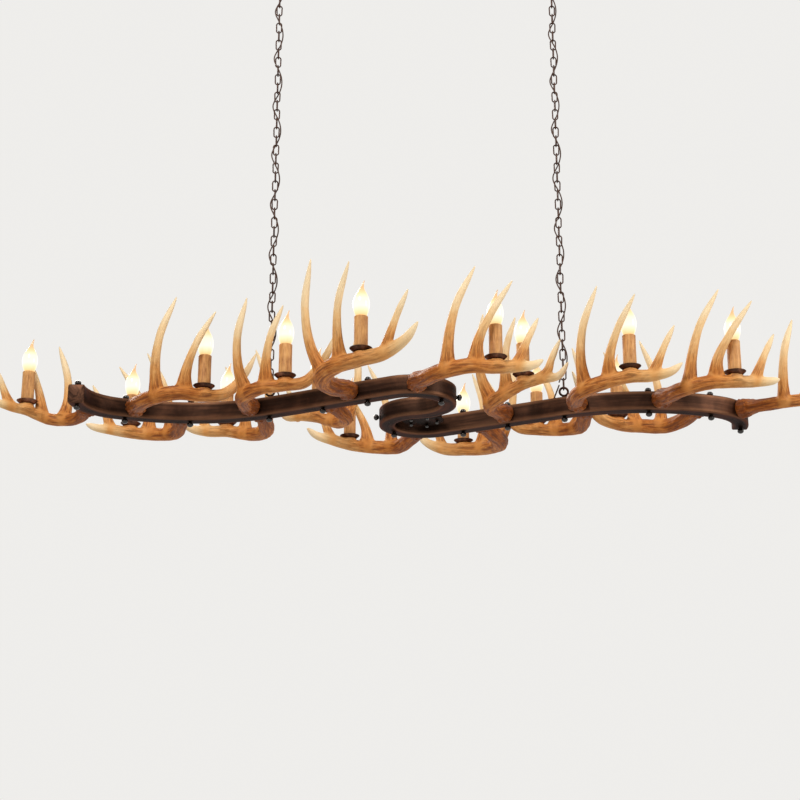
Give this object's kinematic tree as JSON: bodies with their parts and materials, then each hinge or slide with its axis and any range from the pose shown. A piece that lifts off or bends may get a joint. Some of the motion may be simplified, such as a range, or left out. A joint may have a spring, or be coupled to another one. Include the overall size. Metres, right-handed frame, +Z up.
{
  "type": "antler chandelier",
  "caption": "Long chandelier of cast antlers with candle lamps on an S-shaped dark iron tube, hung from the ceiling by two chains with wound cords.",
  "frame": {"origin": "centre of the four ceiling-screw holes, on the ceiling plane midway between the two canopies", "axes": "+X to the right along the frame, +Y away from the viewer, +Z up towards the ceiling"},
  "size_m": [1.8242, 0.7656, 1.1222],
  "materials": {
    "resin": "cast resin antler, brown at the burr and cream at the tips",
    "bulb_glass": "clear candle bulb, lit warm",
    "dark_bronze": "dark bronze paint, rubbed to copper brown",
    "chain_iron": "dark brown painted iron",
    "black_nickel": "glossy black nickel",
    "sleeve_resin": "aged tan candle sleeve",
    "brass_pipe": "threaded brass pipe",
    "socket_plastic": "white lamp socket",
    "cord_cloth": "brown cloth-covered lamp cord"
  },
  "bodies": {
    "ceiling": {"crossbars": "dark_bronze", "canopies": "dark_bronze", "hanging_loops": "dark_bronze", "cord_ends_ceiling": "cord_cloth"},
    "link_left": {"top_link_left": "chain_iron"},
    "hanger_left": {"chain_left": "chain_iron", "cord_left": "cord_cloth"},
    "link_right": {"top_link_right": "chain_iron"},
    "hanger_right": {"chain_right": "chain_iron", "cord_right": "cord_cloth"},
    "frame": {"antler_a_left": "resin", "antler_a_right": "resin", "antler_b_left": "resin", "antler_b_right": "resin", "antler_c_left": "resin", "antler_c_right": "resin", "antler_d_left": "resin", "antler_d_right": "resin", "antler_e_left": "resin", "antler_e_right": "resin", "antler_f_left": "resin", "antler_f_right": "resin", "antler_g_left": "resin", "antler_g_right": "resin", "antler_h_left": "resin", "antler_h_right": "resin", "bulb_a_left": "bulb_glass", "bulb_a_right": "bulb_glass", "bulb_b_left": "bulb_glass", "bulb_b_right": "bulb_glass", "bulb_c_left": "bulb_glass", "bulb_c_right": "bulb_glass", "bulb_d_left": "bulb_glass", "bulb_d_right": "bulb_glass", "bulb_e_left": "bulb_glass", "bulb_e_right": "bulb_glass", "bulb_f_left": "bulb_glass", "bulb_f_right": "bulb_glass", "bulb_g_left": "bulb_glass", "bulb_g_right": "bulb_glass", "bulb_h_left": "bulb_glass", "bulb_h_right": "bulb_glass", "frame_tube": "dark_bronze", "end_caps": "dark_bronze", "box_strap": "dark_bronze", "junction_box": "dark_bronze", "junction_cover": "dark_bronze", "drip_pans": "dark_bronze", "eye_bolts": "dark_bronze", "ball_nuts": "black_nickel", "cover_nuts": "black_nickel", "studs": "black_nickel", "strap_screws": "black_nickel", "candle_sleeves": "sleeve_resin", "candle_pipes": "brass_pipe", "lamp_sockets": "socket_plastic", "cord_ends_frame": "cord_cloth"}
  },
  "joints": [
    {"name": "link_left_swing", "type": "hinge", "parent": "ceiling", "child": "link_left", "pos_m": [-0.314, 0, -0.061], "axis": [1, 0, 0], "range_deg": [-10, 10]},
    {"name": "link_right_swing", "type": "hinge", "parent": "ceiling", "child": "link_right", "pos_m": [0.314, 0, -0.061], "axis": [1, 0, 0], "range_deg": [-10, 10]},
    {"name": "chain_left_swing", "type": "hinge", "parent": "link_left", "child": "hanger_left", "pos_m": [-0.314, 0, -0.0821], "axis": [0, 1, 0], "range_deg": [-10, 10]},
    {"name": "chain_right_swing", "type": "hinge", "parent": "link_right", "child": "hanger_right", "pos_m": [0.314, 0, -0.0821], "axis": [0, 1, 0], "range_deg": [-10, 10]},
    {"name": "frame_level", "type": "hinge", "parent": "hanger_left", "child": "frame", "pos_m": [-0.314, 0, -1.0501], "axis": [0, 1, 0], "range_deg": [-10, 10]}
  ],
  "couplings": [
    {"joint": "link_right_swing", "follows": "link_left_swing", "ratio": 1},
    {"joint": "chain_right_swing", "follows": "chain_left_swing", "ratio": 1},
    {"joint": "frame_level", "follows": "chain_left_swing", "ratio": -1}
  ]
}
